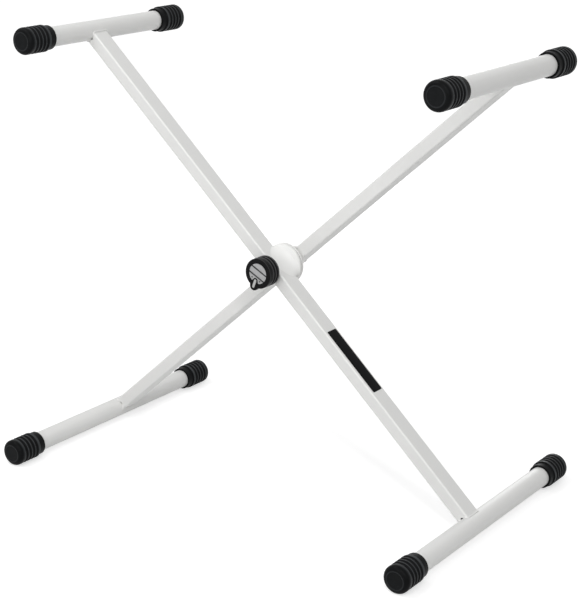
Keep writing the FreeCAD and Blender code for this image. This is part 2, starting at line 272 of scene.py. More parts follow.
class KnobSettings(PropertyGroup):
    """Shape of the clamp knob."""

    radius: metres("Radius", "Drum radius", 0.0240)
    edge_radius: metres("Edge radius", "Rounding of the drum's rims", 0.0020)
    boss_radius: metres("Boss radius", "Boss behind the drum", 0.0120)
    boss_length: metres("Boss length", "Boss from the drum to its washer", 0.0030)
    grips: number("Grip rings", "Grooves round the drum behind the lug", 2, low=0)
    grip_depth: metres("Grip depth", "Depth of each grip ring", 0.0014)
    grip_width: metres("Grip width", "Width of each grip ring", 0.0045)
    # How far the painted highlight reaches below the ridges' crests
    rub_depth: metres("Rub depth", "How far below a ridge's crest the rubbing reaches", 0.0005, low=0.00005)
    lug_reach: metres("Lug reach", "Knob axis to the tip of the lug", 0.0300)
    lug_width: metres("Lug width", "Width of the lug", 0.0150)
    lug_depth: metres("Lug depth", "Lug along the knob's axis", 0.0065)
    lug_blend: metres("Lug blend", "Hollow rounding where the lug leaves the drum", 0.0016, low=0.0001)
    pointer_angle: degrees("Pointer angle", "Lug in the plane of the cross, from +X towards +Z", -110.5)
    recess_radius: metres("Recess radius", "Recess for the face plate", 0.01625)
    recess_depth: metres("Recess depth", "Recess floor below the rim", 0.0014)
    pad_reach: metres("Pad reach", "Knob axis to the inner end of the pointer pad", 0.0083)
    pad_width: metres("Pad width", "Width of the pointer pad", 0.0085)
    pad_slope: degrees("Pad slope", "Turn over which the pad's sides fall to the recess", 2)
    bolt_bore: metres("Bolt bore", "Radius of the hole for the bolt's shank", 0.00505)
    head_pocket: metres("Head pocket", "Half the bolt head's pocket, across its flats", 0.0081)
    head_depth: metres("Head depth", "Depth of the pocket for the bolt's head", 0.0065)
    plate_fit: metres("Plate fit", "Gap round the face plate", 0.0001)
    line_offset: metres("Line offset", "Each face line from the knob's axis", 0.0055)
    line_width: metres("Line width", "Width of the lines across the face", 0.0028)
    line_turn: degrees("Line turn", "Lean of the lines from square to the pointer", 6.5)
    line_depth: metres("Line depth", "Depth of the lines across the face", 0.00035)
    pointer_inner: metres("Pointer inner reach", "Knob axis to the inner end of the pointer bar", 0.0103)
    pointer_outer: metres("Pointer outer reach", "Knob axis to the outer end of the pointer bar", 0.0255)
    pointer_width: metres("Pointer width", "Width of the pointer bar", 0.0046)
    pointer_bevel: metres("Pointer bevel", "Rounding of the pointer bar's front edge", 0.0006)
    lip: metres("Lip", "Small chamfer of the recess and the boss", 0.0003)
    dot_radius: metres("Dot radius", "Plain dots on both sides of the pointer", 0.0013)
    dot_reach: metres("Dot reach", "Knob axis to each dot", 0.0126)
    dot_angle: degrees("Dot angle", "Each dot from the pointer, about the knob's axis", 38)


class HardwareSettings(PropertyGroup):
    """Shape of the clamp nut and the arm label."""

    nut_flats: metres("Nut flats", "Nut across its flats", 0.0170)
    nut_bore: metres("Nut bore", "Radius of the nut's hole", 0.00505)
    nut_bore_chamfer: metres("Nut bore chamfer", "Countersink of the nut's hole", 0.0009)
    nut_face_share: fraction("Nut face share", "Round face as a share of the nut's flats", 0.96, low=0.5)
    nut_chamfer: degrees("Nut chamfer", "Slope of the nut's corner chamfers", 30)
    label_corner: metres("Label corner", "Rounding of the label's corners", 0.0020)


class StageSettings(PropertyGroup):
    """Camera, lamps and floor."""

    camera_place: location("Camera place", "Where the camera stands", (1.3910, -1.9488, 1.0645))
    camera_azimuth: degrees("Camera azimuth", "Camera's turn from the knob side towards +X", 35.23)
    camera_elevation: degrees("Camera elevation", "Camera's tilt above the horizon", 17.79)
    camera_roll: degrees("Camera roll", "Camera's roll about its own axis", 0.64)
    lens: FloatProperty(
        name="Lens", description="Focal length on a 36 mm sensor", default=94.98, min=1, unit="CAMERA")
    sky: FloatProperty(name="Sky level", description="Even light from all round", default=0.36, min=0)
    edge_power: watts("Edge lamp power", "Lamp high on the camera's side, for the tube edges", 93.0)
    edge_place: location("Edge lamp place", "Where the edge lamp hangs", (2.33, -3.00, 3.51))
    edge_length: metres("Edge lamp length", "Edge lamp along the front arm", 4.2)
    edge_width: metres("Edge lamp width", "Edge lamp across the front arm", 0.70)
    front_power: watts("Front lamp power", "Lamp straight in front of the knob", 8.5)
    front_place: location("Front lamp place", "Where the front lamp hangs", (0.0, -2.20, 0.90))
    front_size: metres("Front lamp size", "Side of the front lamp", 0.9)
    top_power: watts("Top lamp power", "Lamp above the left side", 14.0)
    top_place: location("Top lamp place", "Where the top lamp hangs", (-0.90, -0.90, 2.40))
    top_size: metres("Top lamp size", "Side of the top lamp", 1.2)
    back_power: watts("Back lamp power", "Lamp behind the stand", 9.0)
    back_place: location("Back lamp place", "Where the back lamp hangs", (-0.50, 2.10, 0.55))
    back_size: metres("Back lamp size", "Side of the back lamp", 0.9)
    floor_size: metres("Floor size", "Side of the floor", 40.0)
    floor_colour: colour("Floor colour", "Pale floor", (0.65, 0.65, 0.65))
    floor_glow: fraction("Floor glow", "White that the camera sees besides the lit floor", 0.60)
    far_glow: fraction("Far floor glow", "The same far from the stand, where less light falls", 0.80)
    near_reach: metres("Near floor reach", "Where the floor's glow starts to rise", 0.7)
    far_reach: metres("Far floor reach", "Where the floor's glow is full", 2.2)


SETTINGS = {
    "stand_finish": FinishSettings,
    "stand_welds": WeldSettings,
    "stand_caps": CapSettings,
    "stand_clutch": ClutchSettings,
    "stand_hardware": HardwareSettings,
    "stand_knob": KnobSettings,
    "stand_stage": StageSettings,
}


# Materials

# Finishes by the name of their colour setting. Each has its material's name, the mottle of its colour
# (share, features per metre), the drift of its roughness (amount, features per metre), its grain (depth in
# metres, features per metre, detail), the patches of its painted highlight, a paler colour that stands in
# for gloss on crests and rims (features per metre), and the shader's own values that are the same all over.
FINISHES = {
    # Powder coat with a fine orange peel
    "paint": {
        "name": "stand_paint", "mottle": (0.012, 14.0), "drift": (0.05, 60.0), "grain": (0.00006, 700.0),
        "shader": {"Specular IOR Level": 0.8}},
    # Satin coat, finer in grain than the tubes', on a paler colour that is painted light: it stands in for
    # the light the domes catch
    "clutch": {
        "name": "clutch_coat", "mottle": (0.010, 40.0), "drift": (0.05, 90.0), "grain": (0.00003, 900.0)},
    # Moulded rubber with a faint bloom, a fine matt grain and painted highlights on its crests
    "rubber": {
        "name": "cap_rubber_skin", "mottle": (0.30, 90.0), "rub": 320.0, "drift": (0.07, 140.0),
        "grain": (0.00004, 2600.0, 4.0), "shader": {"Specular IOR Level": 0.06}},
    # Moulded plastic with a spark-eroded grain and painted highlights on its rims and ridges
    "knob": {
        "name": "knob_plastic_skin", "mottle": (0.22, 160.0), "rub": 420.0, "drift": (0.06, 220.0),
        "grain": (0.00003, 3200.0, 3.0), "shader": {"Specular IOR Level": 0.07}},
    # Satin plate with a slight fleck
    "face": {
        "name": "knob_face_skin", "mottle": (0.06, 420.0), "drift": (0.05, 500.0),
        "grain": (0.00001, 2400.0)},
    # Moulded bar
    "pointer": {
        "name": "pointer_skin", "mottle": (0.04, 600.0), "drift": (0.05, 700.0), "grain": (0.00001, 2800.0)},
    # Fill of the lines and dots
    "ink": {"name": "face_ink", "mottle": (0.25, 900.0), "drift": (0.06, 900.0)},
    # Film with a faint ripple
    "label": {
        "name": "label_film_skin", "mottle": (0.15, 45.0), "drift": (0.05, 80.0), "grain": (0.00002, 160.0),
        "shader": {"Specular IOR Level": 0.03}},
    # Plating with soft clouding
    "zinc": {
        "name": "zinc_skin", "mottle": (0.10, 260.0), "drift": (0.08, 380.0), "grain": (0.00001, 1800.0),
        "shader": {"Metallic": 1.0}},
    # Pressed fibre with pale flecks
    "lining": {
        "name": "lining_skin", "mottle": (0.45, 1400.0), "drift": (0.06, 900.0), "grain": (0.00005, 2000.0)},
}


def set_inputs(tree, node, inputs):
    """Give a node's inputs, by name or number, a value or a link from another node's output."""
    for name, value in inputs.items():
        if isinstance(value, NodeSocket):
            tree.links.new(value, node.inputs[name])
        else:
            node.inputs[name].default_value = value


def add_node(tree, kind, inputs=None, **options):
    """New shader node with its options and inputs set."""
    node = tree.nodes.new("ShaderNode" + kind)
    for name, value in options.items():
        setattr(node, name, value)
    set_inputs(tree, node, inputs or {})
    return node


def add_noise(tree, scale, detail=2.0):
    """Noise over the piece's own coordinates, in features per metre."""
    place = add_node(tree, "TexCoord").outputs["Object"]
    return add_node(tree, "TexNoise", {"Vector": place, "Scale": scale, "Detail": detail}).outputs["Fac"]


def add_range(tree, value, low, high):
    """A value from 0 to 1, spread from low to high."""
    spread = add_node(tree, "MapRange", {"Value": value, "To Min": low, "To Max": high})
    return spread.outputs["Result"]


def add_mottle(tree, base, share, scale):
    """Colour that drifts by a share of itself."""
    ramp = add_node(tree, "ValToRGB", {"Fac": add_noise(tree, scale, MOTTLE_DETAIL)})
    for element, edge, change in zip(ramp.color_ramp.elements, MOTTLE_EDGES, (-share, share)):
        element.position = edge
        element.color = (*[min(1, channel * (1 + change)) for channel in base], 1)
    return ramp.outputs["Color"]


def add_painted_highlight(tree, plain, highlit, scale):
    """Mix a paler colour into a plain one as a painted highlight, by the mesh's highlight values, broken up
    by noise.
    """
    rub = add_node(tree, "Attribute", attribute_name=HIGHLIGHT).outputs["Fac"]
    patches = add_range(tree, add_noise(tree, scale), *HIGHLIGHT_PATCHES)
    amount = add_node(tree, "Math", {0: rub, 1: patches}, operation="MULTIPLY", use_clamp=True)
    colours = {"Factor": amount.outputs["Value"], "A": plain, "B": (*highlit, 1)}
    return add_node(tree, "Mix", colours, data_type="RGBA").outputs["Result"]


def add_grain(tree, depth, scale, detail=2.0):
    """Normal with a fine bump, its depth in metres."""
    height = add_noise(tree, scale, detail)
    return add_node(tree, "Bump", {"Height": height, "Distance": depth, "Strength": 1.0}).outputs["Normal"]


def finish(kind):
    """Material of a finish, made when it is first asked for."""
    recipe = FINISHES[kind]
    material = bpy.data.materials.get(recipe["name"])
    if material:
        return material
    material = bpy.data.materials.new(recipe["name"])
    material.use_nodes = True
    tree = material.node_tree
    settings = bpy.context.scene.stand_finish
    base = add_mottle(tree, getattr(settings, kind), *recipe["mottle"])
    # Paler colour painted where the mesh marks a highlight, standing in for gloss
    if "rub" in recipe:
        base = add_painted_highlight(tree, base, getattr(settings, "rubbed_" + kind), recipe["rub"])
    amount, scale = recipe["drift"]
    roughness = getattr(settings, kind + "_roughness")
    gloss = add_range(tree, add_noise(tree, scale), roughness - amount, roughness + amount)
    inputs = {"Base Color": base, "Roughness": gloss, **recipe.get("shader", {})}
    if "grain" in recipe:
        inputs["Normal"] = add_grain(tree, *recipe["grain"])
    set_inputs(tree, tree.nodes["Principled BSDF"], inputs)
    return material


# Mesh building


def round_turns(segments):
    """Even turns once round."""
    return [2 * math.pi * index / segments for index in range(segments)]


def quarter_turns(steps):
    """Even turns from 0 to a right angle, both included."""
    return [math.pi / 2 * step / steps for step in range(steps + 1)]


def soften(corners):
    """Chain of (radius, along, fillet) corners as points, with each corner rounded by its fillet."""
    points = []
    for index, (radius, along, fillet) in enumerate(corners):
        here = Vector((radius, along))
        if fillet <= 0 or index in (0, len(corners) - 1):
            points.append(here)
            continue
        back = Vector(corners[index - 1][:2]) - here
        ahead = Vector(corners[index + 1][:2]) - here
        half = back.angle(ahead) / 2
        reach = min(fillet / math.tan(half), back.length * FILLET_ROOM, ahead.length * FILLET_ROOM)
        start = here + back.normalized() * reach
        end = here + ahead.normalized() * reach
        centre = here + (back.normalized() + ahead.normalized()).normalized() * (reach / math.cos(half))
        for step in range(FILLET_STEPS + 1):
            spoke = start.lerp(end, step / FILLET_STEPS) - centre
            points.append(centre + spoke.normalized() * (start - centre).length)
    return [(point.x, point.y) for point in points]


def bridge(bm, loop, other, material):
    """Quads between two closed loops of as many points, or a fan where one loop is a single point."""
    count = max(len(loop), len(other))
    for index in range(count):
        after = (index + 1) % count
        if len(loop) == 1:
            corners = (loop[0], other[after], other[index])
        elif len(other) == 1:
            corners = (loop[index], loop[after], other[0])
        else:
            corners = (loop[index], loop[after], other[after], other[index])
        bm.faces.new(corners).material_index = material


def skin(bm, rings, closed=False, material=0):
    """Faces from ring to ring, and from the last back to the first where the skin is closed."""
    loops = [[bm.verts.new(point) for point in ring] for ring in rings]
    for loop, other in zip(loops, loops[1:] + loops[:1] if closed else loops[1:]):
        bridge(bm, loop, other, material)
    return loops


def lathe(bm, profile, centre, facing, rub=None):
    """Closed solid of revolution about a line along Y: profile of (radius, along) from axis to axis,
    or a ring where the profile ends where it began. A highlight function of (radius, along) marks the rings
    that take the painted highlight, a paler colour standing in for gloss."""
    closed = profile[0] == profile[-1]
    if closed:
        profile = profile[:-1]
    highlit = bm.verts.layers.float.new(HIGHLIGHT) if rub else None
    rings = []
    for radius, along in profile:
        middle = centre + SIDE * (along * facing)
        rings.append([
            middle + Vector((radius * math.cos(turn), 0, radius * math.sin(turn)))
            for turn in round_turns(ROUND_SEGMENTS if radius > 0 else 1)
        ])
    loops = skin(bm, rings, closed)
    if rub:
        for loop, (radius, along) in zip(loops, profile):
            for vertex in loop:
                vertex[highlit] = rub(radius, along)


def slab(bm, outline, low, high, bevel, to_world, material=0):
    """Flat plate from an anticlockwise outline of (x, z) points, rounded at its front (low) edge."""
    normals = outline_normals(outline)
    stations = [(high, 0)]
    for turn in quarter_turns(FILLET_STEPS) if bevel else [0]:
        stations.append((low + bevel * (1 - math.sin(turn)), bevel * (1 - math.cos(turn))))
    rings = []
    for along, inset in stations:
        rings.append([
            to_world(x - normal_x * inset, along, z - normal_z * inset)
            for (x, z), (normal_x, normal_z) in zip(outline, normals)
        ])
    loops = skin(bm, rings, material=material)
    bm.faces.new(loops[0][::-1]).material_index = material
    bm.faces.new(loops[-1]).material_index = material


def outline_normals(outline):
    """Outward normals of a closed outline that runs anticlockwise in (x, z)."""
    normals = []
    for before, after in zip(outline[-1:] + outline[:-1], outline[1:] + outline[:1]):
        run = (Vector(after) - Vector(before)).normalized()
        normals.append((run.y, -run.x))
    return normals


def polar_outline(reach, segments=KNOB_SEGMENTS):
    """Closed outline about the origin from a reach by turn, anticlockwise."""
    return [(reach(turn) * math.cos(turn), reach(turn) * math.sin(turn)) for turn in round_turns(segments)]


def arc(x, z, radius, start, sweep, steps):
    """Points of an arc about (x, z), both ends included."""
    turns = [start + sweep * step / steps for step in range(steps + 1)]
    return [(x + radius * math.cos(turn), z + radius * math.sin(turn)) for turn in turns]


def capsule_outline(inner, outer, width):
    """Round-ended bar along +x, anticlockwise."""
    radius = width / 2
    outer_end = arc(outer - radius, 0, radius, -math.pi / 2, math.pi, POINTER_END_STEPS)
    return outer_end + arc(inner + radius, 0, radius, math.pi / 2, math.pi, POINTER_END_STEPS)


def rounded_outline(length, width, corner):
    """Rectangle with round corners about the origin, anticlockwise."""
    points = []
    x, z = length / 2 - corner, width / 2 - corner
    for quarter, (middle_x, middle_z) in enumerate(((x, -z), (x, z), (-x, z), (-x, -z))):
        start = math.pi / 2 * (quarter - 1)
        points += arc(middle_x, middle_z, corner, start, math.pi / 2, LABEL_CORNER_STEPS)
    return points


def clip_outline(outline, limit, keep_above):
    """Part of an outline on one side of the line x = limit."""
    kept = []
    for here, after in zip(outline, outline[1:] + outline[:1]):
        inside = (here[0] > limit) == keep_above
        if inside:
            kept.append(here)
        if inside != ((after[0] > limit) == keep_above):
            share = (limit - here[0]) / (after[0] - here[0])
            kept.append((limit, here[1] + share * (after[1] - here[1])))
    return kept


def turned_outline(outline, turn):
    """Outline turned about the origin, from x towards z."""
    cos, sin = math.cos(turn), math.sin(turn)
    return [(x * cos - z * sin, x * sin + z * cos) for x, z in outline]


def hexagon_reach(half_flats, turn):
    """Distance to a hexagon's side at a turn from the middle of one flat."""
    wrapped = (turn + math.pi / 6) % (math.pi / 3) - math.pi / 6
    return half_flats / math.cos(wrapped)


def make_piece(name, bm, finishes, body, slot, *nodes):
    """Turn a finished mesh into a piece that rides on a body and stands for its CAD nodes."""
    bmesh.ops.recalc_face_normals(bm, faces=bm.faces)
    mesh = bpy.data.meshes.new(name)
    bm.to_mesh(mesh)
    bm.free()
    mesh.shade_smooth()
    mesh.set_sharp_from_angle(angle=SHARP_ANGLE)
    for kind in finishes:
        mesh.materials.append(finish(kind))
    piece = bpy.data.objects.new(name, mesh)
    bpy.context.scene.collection.objects.link(piece)
    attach(piece, body)
    if nodes:
        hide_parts(*nodes)


def dress(kind, *nodes):
    """Give carried-over CAD nodes a finish."""
    for node in nodes:
        mesh = frame["nodes"][node].data
        mesh.materials.clear()
        mesh.materials.append(finish(kind))


# Pieces


class STAND_OT_frame_tubes(Operator):
    """Finish the arms and bars, which keep their CAD shape"""

    bl_idname = "stand.frame_tubes"
    bl_label = "Arms and bars"

    def execute(self, context):
        dress("paint", *[f"{arm}_arm" for arm in ARMS], *[f"{arm}_{level}_bar" for arm, level in BARS])
        return {"FINISHED"}


def bead_outline(width, depth, corner):
    """Points and normals clockwise round a tube's section as (y, z), from the middle of its -Y face."""
    points = []
    half_y, half_z = depth / 2 - corner, width / 2 - corner
    corner_steps = max(2, round(corner * math.pi / 2 / BEAD_STEP))
    heading = Vector((0, 1))
    start = Vector((-depth / 2, 0))
    for length in (half_z, 2 * half_y, 2 * half_z, 2 * half_y, half_z):
        normal = Vector((-heading.y, heading.x))
        steps = max(2, round(length / BEAD_STEP))
        points += [(start + heading * (length * index / steps), normal) for index in range(steps)]
        centre = start + heading * length - normal * corner
        for index in range(corner_steps):
            turn = math.pi / 2 * index / corner_steps
            spoke = normal * math.cos(turn) + heading * math.sin(turn)
            points.append((centre + spoke * corner, spoke))
        start = centre + heading * corner
        heading = Vector((heading.y, -heading.x))
    # The last run ends where the first began, with no corner after it
    return points[:-corner_steps]


def bead_rings(path, weld):
    """Rings of a rippled bead along a path of (point, outward) pairs, tapered shut at both ends."""
    travelled = [0.0]
    for (spot, _), (after, _) in zip(path, path[1:]):
        travelled.append(travelled[-1] + (after - spot).length)
    rings = [[path[0][0]]]
    for index in range(1, len(path) - 1):
        spot, outward = path[index]
        heading = path[index + 1][0] - path[index - 1][0]
        up = heading.cross(outward).normalized()
        gone = travelled[index]
        taper = math.sqrt(min(1.0, gone / weld.bead, (travelled[-1] - gone) / weld.bead))
        swell = 1 + weld.ripple * (abs(math.sin(math.pi * gone / weld.pitch)) - 0.5)
        radius = weld.bead * taper * swell
        rings.append([
            spot + outward * (radius * math.cos(turn)) + up * (radius * math.sin(turn))
            for turn in round_turns(BEAD_SEGMENTS)
        ])
    return [*rings, [path[-1][0]]]


class STAND_OT_weld_beads(Operator):
    """Lay a rippled weld bead round each arm end, broken at its vent notch"""

    bl_idname = "stand.weld_beads"
    bl_label = "Weld beads"

    def execute(self, context):
        weld = context.scene.stand_welds
        for arm, level in BARS:
            bm = bmesh.new()
            skin(bm, bead_rings(self.path(weld, arm, level), weld))
            make_piece(f"{arm}_{level}_weld", bm, ["paint"], f"{arm}_frame", "frame_paint")
        return {"FINISHED"}

    def path(self, weld, arm, level):
        """Points where arm and bar meet, each with its outward direction."""
        bar = f"{arm}_{level}_bar"
        place = centre_of(bar)
        place.y = centre_of(f"{arm}_arm").y
        radius = size_of(bar).x / 2 + weld.stand_off
        run = arm_run(arm, level)
        across = run.cross(SIDE)
        width, depth = (side + 2 * weld.stand_off for side in arm_section(arm))
        path = []
        for point, normal in bead_outline(width, depth, weld.tube_corner + weld.stand_off):
            on_vent_face = point.x < weld.stand_off - depth / 2
            if on_vent_face and abs(point.y) <= weld.vent_gap:
                continue
            along = -math.sqrt(radius * radius - point.y * point.y)
            spot = place + SIDE * point.x + run * along + across * point.y
            path.append((spot, SIDE * normal.x + across * normal.y))
        return path


class STAND_OT_rubber_caps(Operator):
    """Mould the ribbed caps on the bar ends"""

    bl_idname = "stand.rubber_caps"
    bl_label = "Rubber caps"

    def execute(self, context):
        for arm, level in BARS:
            for end, facing in CAP_ENDS.items():
                self.mould(context.scene.stand_caps, arm, level, end, facing)
        return {"FINISHED"}

    def mould(self, cap, arm, level, end, facing):
        """One cap, turned about its bar."""
        node = f"{arm}_{level}_{end}_cap"
        low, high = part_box(node)
        closed_end = centre_of(node)
        closed_end.y = low.y if facing < 0 else high.y
        bore = size_of(f"{arm}_{level}_bar").x / 2 + cap.bore_gap
        radius, length = (high.x - low.x) / 2, high.y - low.y

        # Paler rubber painted on the rib crests, the end's lip and its flat, standing in for gloss
        # highlights
        def rub(at, along):
            if along <= cap.lip_height and at <= radius - cap.edge_radius:
                return cap.flat_highlight if along > cap.lip_height / 2 else cap.lip_highlight
            ribbed = cap.edge_radius < along < length - cap.collar_length
            return max(0.0, 1 - (radius - at) / cap.rub_depth) if ribbed else 0.0

        bm = bmesh.new()
        lathe(bm, self.profile(cap, radius, length, bore), closed_end, -facing, rub)
        make_piece(node + "_moulded", bm, ["rubber"], f"{arm}_frame", "cap_rubber", node)

    def profile(self, cap, radius, length, bore):
        """Section from the middle of the closed end over the ribs into the bore."""
        collar = radius - cap.collar_inset
        collar_start = length - cap.collar_length
        pitch = (collar_start - cap.edge_radius) / cap.ribs
        soft = cap.soft_radius
        flat = radius - cap.edge_radius
        corners = [
            (0, cap.lip_height, 0),
            (flat - cap.lip_width - cap.lip_height, cap.lip_height, soft),
            (flat - cap.lip_width, 0, soft),
        ]
        for turn in quarter_turns(CAP_EDGE_STEPS):
            along = cap.edge_radius * (1 - math.cos(turn))
            corners.append((flat + cap.edge_radius * math.sin(turn), along, 0))
        lip = cap.groove_width / 2
        floor = lip * cap.groove_floor_share
        for groove in range(1, cap.ribs):
            middle = cap.edge_radius + groove * pitch
            corners += [
                (radius, middle - lip, cap.rib_radius),
                (radius - cap.groove_depth, middle - floor, soft),
                (radius - cap.groove_depth, middle + floor, soft),
                (radius, middle + lip, cap.rib_radius),
            ]
        corners += [
            (radius, collar_start, cap.rib_radius),
            (collar, collar_start + soft, soft),
            (collar, length, soft),
            (bore, length, soft / 2),
            (bore, cap.end_wall, 0),
            (0, cap.end_wall, 0),
        ]
        return soften(corners)


def dome_drop(clutch, share):
    """Fall of the dome, from 0 at the seat to 1 at the rim, at a share of the way out."""
    return 1 - (1 - share ** clutch.dome_power) ** (1 / clutch.dome_power)


class STAND_OT_clutch(Operator):
    """Press the two domed clutch cups, lay their seams and finish the lining between them"""

    bl_idname = "stand.clutch"
    bl_label = "Clutch cups and lining"

    def execute(self, context):
        for arm, facing in zip(ARMS, (1, -1)):
            node = f"{arm}_clutch_cup"
            low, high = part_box(node)
            size = high - low
            seat = Vector((PIVOT.x, low.y if facing > 0 else high.y, PIVOT.z))
            bm = bmesh.new()
            lathe(bm, self.profile(context.scene.stand_clutch, size.x / 2, size.y), seat, facing)
            make_piece(node + "_pressed", bm, ["clutch"], f"{arm}_frame", "frame_paint", node)
            self.lay_seams(context.scene, arm, seat, facing, size)
        dress("lining", "friction_lining")
        return {"FINISHED"}

    def lay_seams(self, scene, arm, seat, facing, size):
        """Hollow seams that carry each side of the arm over into the dome."""
        weld, clutch = scene.stand_welds, scene.stand_clutch
        radius = size.x / 2
        flat = radius * clutch.seat_share
        fall = size.y * (1 - clutch.rim_share)
        half_width = arm_section(arm)[0] / 2
        root = half_width - weld.tube_corner
        sunk = half_width - weld.stand_off
        run = arm_run(arm, "top")

        def dome(along, across):
            share = (math.hypot(along, across) - flat) / (radius - flat)
            return fall * dome_drop(clutch, min(1.0, max(0.0, share)))

        def section(along):
            if abs(along) >= weld.seam_reach:
                return [Vector((root, 0))]
            swell = math.sqrt(1 - (along / weld.seam_reach) ** 2)
            inside_rim = math.sqrt((radius - weld.stand_off) ** 2 - along * along)
            outer = min(sunk + weld.seam * swell, max(sunk, inside_rim))
            on_arm = Vector((sunk, -weld.tube_corner - weld.seam_rise * swell))
            corner = Vector((sunk, dome(along, sunk)))
            on_dome = Vector((outer, dome(along, outer) + weld.stand_off))
            off_arm = on_arm.lerp(corner, weld.seam_pull)
            off_dome = on_dome.lerp(corner, weld.seam_pull)
            hollow = interpolate_bezier(on_arm, off_arm, off_dome, on_dome, SEAM_SIDES + 1)
            return [*hollow, Vector((root, weld.stand_off))]

        bm = bmesh.new()
        for side in (-1, 1):
            across = run.cross(SIDE) * side
            rings = []
            for step in range(SEAM_STEPS + 1):
                along = weld.seam_reach * (2 * step / SEAM_STEPS - 1)
                middle = seat + run * along
                rings.append([middle + across * at.x + SIDE * (facing * at.y) for at in section(along)])
            skin(bm, rings)
        # The seams take the clutch's paler coat, so its painted light runs up the arm's sides beside the
        # dome
        make_piece(f"{arm}_clutch_seam", bm, ["clutch"], f"{arm}_frame", "frame_paint")

    def profile(self, clutch, radius, height):
        """Section of a cup from its bore over the seat, dome, rim and lining land."""
        seat = radius * clutch.seat_share
        land = radius * clutch.land_share
        rim_start = height * (1 - clutch.rim_share)
        wall = height * clutch.seat_wall_share
        start = (clutch.bore, wall, 0)
        corners = [start, (clutch.bore, 0, 0)]
        for turn in quarter_turns(DOME_STEPS):
            share = math.sin(turn)
            corners.append((seat + (radius - seat) * share, rim_start * dome_drop(clutch, share), 0))
        corners += [
            (radius, height, clutch.edge_radius),
            (land, height, clutch.edge_radius),
            (land, wall, clutch.edge_radius),
            start,
        ]
        return soften(corners)


class STAND_OT_pivot_hardware(Operator):
    """Finish the bolt, sleeves and washers and cut the nut's chamfers"""

    bl_idname = "stand.pivot_hardware"
    bl_label = "Pivot hardware"

    def execute(self, context):
        dress("zinc", "clamp_bolt", "thrust_washer", *[f"{arm}_pivot_sleeve" for arm in ARMS])
        dress("paint", "nut_washer")
        self.cut_nut(context.scene.stand_hardware)
        return {"FINISHED"}

    def cut_nut(self, hardware):
        """Hexagon nut with one flat square to the rear arm."""
        low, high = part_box("clamp_nut")
        bore, bore_chamfer = hardware.nut_bore, hardware.nut_bore_chamfer
        half_flats = hardware.nut_flats / 2
        face = half_flats * hardware.nut_face_share
        run = arm_run("rear", "top")
        arm_turn = math.atan2(run.z, run.x)
        sections = []
        for turn in round_turns(KNOB_SEGMENTS):
            reach = hexagon_reach(half_flats, turn - arm_turn)
            drop = (reach - face) * math.tan(hardware.nut_chamfer)
            half = [(bore, bore_chamfer), (bore + bore_chamfer, 0), (face, 0), (reach, drop)]
            section = [(radius, low.y + inset) for radius, inset in half]
            section += [(radius, high.y - inset) for radius, inset in reversed(half)]
            sections.append([
                (PIVOT.x + radius * math.cos(turn), along, PIVOT.z + radius * math.sin(turn))
                for radius, along in section
            ])
        bm = bmesh.new()
        skin(bm, zip(*sections), closed=True)
        make_piece("clamp_nut_cut", bm, ["paint"], "rear_frame", "frame_paint", "clamp_nut")


def on_knob(knob):
    """Mapping from knob coordinates (pointer along x, z across, y along the axis) to the stand."""
    turn = Matrix.Rotation(-knob.pointer_angle, 4, "Y")

    def place(x, along, z):
        spot = turn @ Vector((x, 0, z))
        return Vector((PIVOT.x + spot.x, along, PIVOT.z + spot.z))

    return place


def lug_radius(knob, turn):
    """Knob's outline: the drum with the lug blended out of it by a smooth maximum."""
    half = knob.lug_width / 2
    tip = knob.lug_reach - half
    sideways = abs(math.sin(turn))
    reach = 0.0
    if math.cos(turn) > 0:
        if tip * sideways < half:
            reach = tip * math.cos(turn) + math.sqrt(half * half - (tip * sideways) ** 2)
        else:
            reach = half / sideways
    gap = abs(reach - knob.radius)
    blend = max(0.0, 1 - gap / knob.lug_blend)
    return max(reach, knob.radius) + knob.lug_blend * blend * blend / 4


def recess_radius(knob, turn, fit):
    """Face recess: a disc with the pointer pad left standing in it."""
    wrapped = abs((turn + math.pi) % (2 * math.pi) - math.pi)
    half = knob.pad_width / 2 + fit
    middle = knob.pad_reach + knob.pad_width / 2
    pad_angle = math.asin(half / middle)
    across = middle * math.sin(min(wrapped, pad_angle))
    pad = middle * math.cos(min(wrapped, pad_angle)) - math.sqrt(max(0.0, half * half - across * across))
    share = min(1.0, max(0.0, (wrapped - pad_angle) / knob.pad_slope))
    share = share * share * (3 - 2 * share)
    return pad + (knob.recess_radius - fit - pad) * share


def rounded_rim(outline, edge, face, inward):
    """Rings of a quarter-round rim, from its flat face out to its side."""
    return [
        (outline(edge * (1 - math.sin(turn))), face + inward * edge * (1 - math.cos(turn)))
        for turn in quarter_turns(FILLET_STEPS)
    ]


